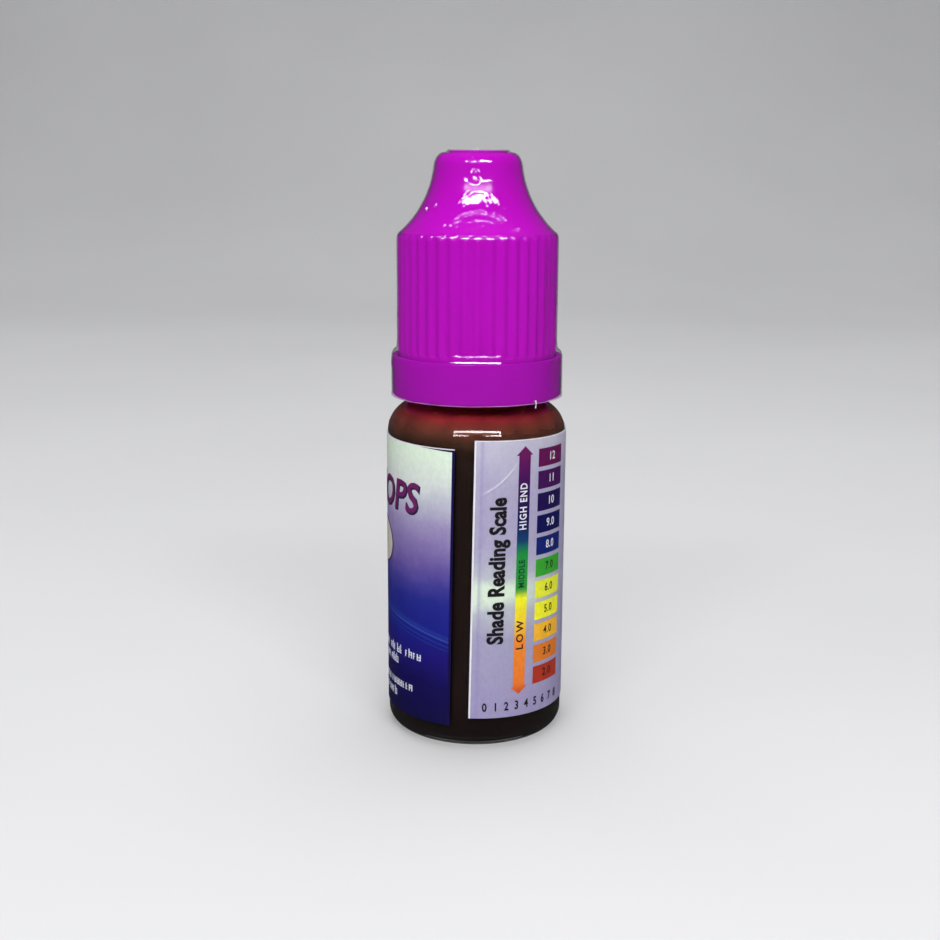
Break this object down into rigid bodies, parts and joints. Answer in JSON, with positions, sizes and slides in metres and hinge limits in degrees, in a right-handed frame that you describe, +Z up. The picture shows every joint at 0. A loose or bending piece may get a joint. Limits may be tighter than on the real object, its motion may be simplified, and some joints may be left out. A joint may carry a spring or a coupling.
{
  "type": "dropper bottle",
  "caption": "Small clear dropper bottle of dark liquid with a press-in dropper plug, a ribbed child-resistant screw cap, a tamper band, a clear shrink seal and a wraparound colour-chart label.",
  "frame": {"origin": "centre of the bottle's base ring, on the surface it stands on", "axes": "+Z up along the bottle's axis, -Y towards the front, where the label's two ends meet"},
  "size_m": [0.0222, 0.0222, 0.0717],
  "materials": {
    "bottle": "clear PET, thin walled, moulding line up each side",
    "liquid": "dark red-brown indicator solution, water thin",
    "wrap_label": "satin coated paper printed with a graded colour chart",
    "dropper_plug": "natural low-density polyethylene, slightly milky",
    "tamper_band": "purple polypropylene, smooth",
    "inner_cap": "white polypropylene",
    "outer_shell": "purple polypropylene, ribbed grip",
    "shrink_seal": "clear shrink film with fine wrinkles"
  },
  "bodies": {
    "bottle_body": {"bottle": "bottle", "liquid": "liquid", "wrap_label": "wrap_label", "dropper_plug": "dropper_plug"},
    "band": {"tamper_band": "tamper_band"},
    "threaded_cap": {"inner_cap": "inner_cap"},
    "shell": {"outer_shell": "outer_shell"},
    "seal": {"shrink_seal": "shrink_seal"}
  },
  "joints": [
    {"name": "cap_turn", "type": "hinge", "parent": "bottle_body", "child": "band", "pos_m": [0, 0, 0.047], "axis": [0, 0, 1], "range_deg": [0, 2640]},
    {"name": "cap_rise", "type": "slide", "parent": "band", "child": "threaded_cap", "axis": [0, 0, 1], "range_m": [0, 0.02201]},
    {"name": "shell_push", "type": "slide", "parent": "threaded_cap", "child": "shell", "axis": [0, 0, 1], "range_m": [-0.0008, 0], "stiffness_N_per_m": 1500, "springref_m": 0.0003},
    {"name": "seal_lift", "type": "slide", "parent": "threaded_cap", "child": "seal", "axis": [0, 0, 1], "range_m": [0, 0.031]}
  ],
  "couplings": [
    {"joint": "cap_rise", "follows": "cap_turn", "m_per_rad": 0.00047746}
  ]
}
